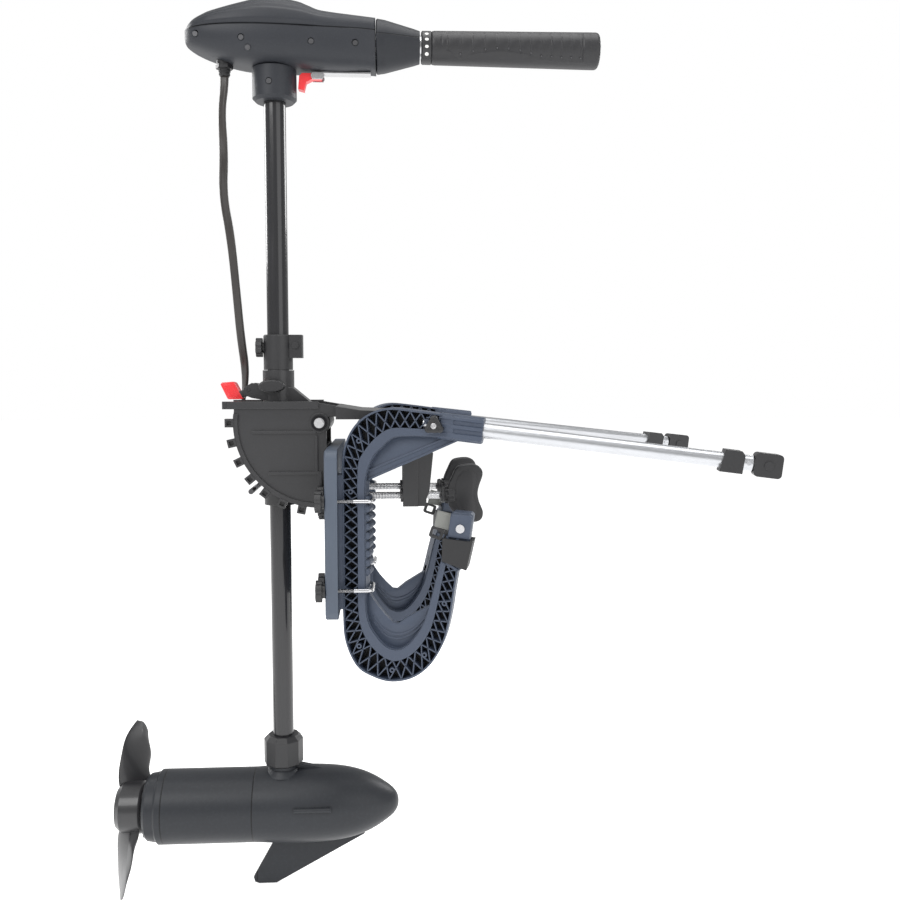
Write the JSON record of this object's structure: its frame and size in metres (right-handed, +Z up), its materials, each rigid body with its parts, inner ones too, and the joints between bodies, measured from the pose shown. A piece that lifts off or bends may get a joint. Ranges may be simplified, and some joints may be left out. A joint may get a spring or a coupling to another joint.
{
  "type": "transom trolling motor",
  "caption": "Electric transom trolling motor with tiller head, tilting quadrant bracket and a composite boat mount with hooked brackets and poles.",
  "frame": {"origin": "the middle of the boat fitting that the two hook brackets close around, midway between them", "axes": "+X towards the bow, the way the tiller points; +Y to port; +Z up along the shaft"},
  "size_m": [0.8536, 0.3986, 1.2024],
  "materials": {
    "charcoal": "satin moulded plastic",
    "motor_paint": "satin paint",
    "black_plastic": "moulded",
    "shaft_black": "glossy composite",
    "blue_grey": "glass-filled composite",
    "board": "composite board",
    "steel": "plain",
    "aluminium": "anodised",
    "red": "moulded",
    "copper": "plain",
    "magnet": "ferrite",
    "rubber": "plain",
    "webbing": "woven"
  },
  "bodies": {
    "mount": {"transom_bracket": "black_plastic", "tilt_pivot_bolt": "steel", "mount_board": "board", "hook_bracket_port": "blue_grey", "hook_bracket_starboard": "blue_grey", "saddle_wedges": "blue_grey", "u_bolts": "steel", "u_bolt_nuts": "black_plastic", "hook_tip_boots": "black_plastic", "hook_tip_rivets": "steel", "hook_tip_straps": "webbing", "strap_buckles": "black_plastic", "pole_port": "aluminium", "pole_starboard": "aluminium", "pole_end_port": "black_plastic", "pole_end_starboard": "black_plastic"},
    "tilt_hub": {"steering_hub": "black_plastic"},
    "tension_knob": {"steering_tension_knob": "black_plastic"},
    "lock_lever": {"tilt_lock_lever": "red"},
    "lock_bar": {"tilt_lock_bar": "steel"},
    "depth_collar": {"depth_collar": "black_plastic"},
    "depth_knob": {"depth_collar_knob": "black_plastic"},
    "shaft": {"shaft_tube": "shaft_black", "head_upper_cover": "charcoal", "head_lower_cover": "charcoal", "cover_screws": "steel", "tiller_neck": "charcoal", "cable_gland": "black_plastic", "speed_switch": "black_plastic", "motor_leads": "rubber", "motor_nose_housing": "charcoal", "motor_tube": "motor_paint", "motor_end_cap": "charcoal", "motor_through_bolts": "steel", "field_magnets": "magnet", "motor_bearings": "steel", "shaft_seal": "rubber", "brush_gear": "black_plastic", "shaft_nut": "black_plastic", "tiller_latch_strip": "steel"},
    "rotor": {"armature": "steel", "commutator": "copper", "propeller_shaft": "steel", "propeller": "black_plastic", "propeller_nut": "charcoal"},
    "tiller": {"tiller_tube": "aluminium"},
    "grip": {"throttle_grip": "charcoal", "grip_speed_ring": "charcoal", "grip_end_cap": "charcoal", "throttle_rod": "steel"},
    "trigger": {"tiller_trigger": "red"},
    "clamp_pad_port": {"clamp_pad_port": "steel"},
    "clamp_pad_starboard": {"clamp_pad_starboard": "steel"},
    "clamp_screw_port": {"clamp_screw_port": "steel"},
    "clamp_screw_starboard": {"clamp_screw_starboard": "steel"},
    "pole_knob_port": {"pole_knob_port": "black_plastic"},
    "pole_knob_starboard": {"pole_knob_starboard": "black_plastic"},
    "battery_cable": {"battery_cable_run": "rubber", "battery_cable_coil": "rubber", "ring_terminals": "copper"}
  },
  "joints": [
    {"name": "tilt", "type": "hinge", "parent": "mount", "child": "tilt_hub", "pos_m": [-0.107, 0, 0.128], "axis": [0, 1, 0], "range_deg": [0, 50]},
    {"name": "steering", "type": "hinge", "parent": "tilt_hub", "child": "depth_collar", "pos_m": [-0.165, 0, 0.1], "axis": [0, 0, 1], "range_deg": [-90, 90]},
    {"name": "depth_slide", "type": "slide", "parent": "depth_collar", "child": "shaft", "axis": [0, 0, 1], "range_m": [-0.3, 0.14]},
    {"name": "tension_turn", "type": "hinge", "parent": "tilt_hub", "child": "tension_knob", "pos_m": [-0.171, -0.021, 0.176], "axis": [0, -1, 0], "range_deg": [0, 360]},
    {"name": "lock_bar_slide", "type": "slide", "parent": "tilt_hub", "child": "lock_bar", "axis": [-0.7071, 0, -0.7071], "range_m": [-0.01, 0]},
    {"name": "lock_lever_turn", "type": "hinge", "parent": "tilt_hub", "child": "lock_lever", "pos_m": [-0.203, 0, 0.17], "axis": [0, 1, 0], "range_deg": [-20, 0]},
    {"name": "depth_knob_turn", "type": "hinge", "parent": "depth_collar", "child": "depth_knob", "pos_m": [-0.185, 0, 0.2275], "axis": [-1, 0, 0], "range_deg": [0, 360]},
    {"name": "propeller_spin", "type": "hinge", "parent": "shaft", "child": "rotor", "pos_m": [-0.365, 0, -0.408], "axis": [1, 0, 0], "continuous": true},
    {"name": "tiller_extend", "type": "slide", "parent": "shaft", "child": "tiller", "axis": [1, 0, 0], "range_m": [0, 0.11]},
    {"name": "grip_twist", "type": "hinge", "parent": "tiller", "child": "grip", "pos_m": [0.1, 0, 0.6245], "axis": [1, 0, 0], "range_deg": [-90, 150]},
    {"name": "trigger_pull", "type": "hinge", "parent": "shaft", "child": "trigger", "pos_m": [-0.108, 0, 0.584], "axis": [0, 1, 0], "range_deg": [-14, 0], "stiffness_Nm_per_rad": 0.2, "springref_deg": 5.73},
    {"name": "clamp_feed_port", "type": "slide", "parent": "mount", "child": "clamp_pad_port", "axis": [1, 0, 0], "range_m": [0, 0.0241]},
    {"name": "clamp_turn_port", "type": "hinge", "parent": "clamp_pad_port", "child": "clamp_screw_port", "pos_m": [0.06, 0.052, 0.032], "axis": [1, 0, 0], "range_deg": [0, 4320]},
    {"name": "pole_knob_turn_port", "type": "hinge", "parent": "mount", "child": "pole_knob_port", "pos_m": [0.04396, 0.10918, 0.128], "axis": [-0.1908, 0.9816, 0], "range_deg": [0, 360]},
    {"name": "clamp_feed_starboard", "type": "slide", "parent": "mount", "child": "clamp_pad_starboard", "axis": [1, 0, 0], "range_m": [0, 0.0241]},
    {"name": "clamp_turn_starboard", "type": "hinge", "parent": "clamp_pad_starboard", "child": "clamp_screw_starboard", "pos_m": [0.06, -0.052, 0.032], "axis": [1, 0, 0], "range_deg": [0, 4320]},
    {"name": "pole_knob_turn_starboard", "type": "hinge", "parent": "mount", "child": "pole_knob_starboard", "pos_m": [0.04396, -0.10918, 0.128], "axis": [-0.1908, -0.9816, 0], "range_deg": [0, 360]},
    {"name": "cable_follow", "type": "hinge", "parent": "shaft", "child": "battery_cable", "pos_m": [-0.165, 0, 0.1], "axis": [0, 0, 1], "range_deg": [-90, 90], "deforming": ["battery_cable_run"]}
  ],
  "couplings": [
    {"joint": "lock_lever_turn", "follows": "lock_bar_slide", "rad_per_m": 34.8},
    {"joint": "clamp_feed_port", "follows": "clamp_turn_port", "m_per_rad": 0.00031831},
    {"joint": "clamp_feed_starboard", "follows": "clamp_turn_starboard", "m_per_rad": 0.00031831},
    {"joint": "cable_follow", "follows": "steering", "ratio": -1}
  ]
}
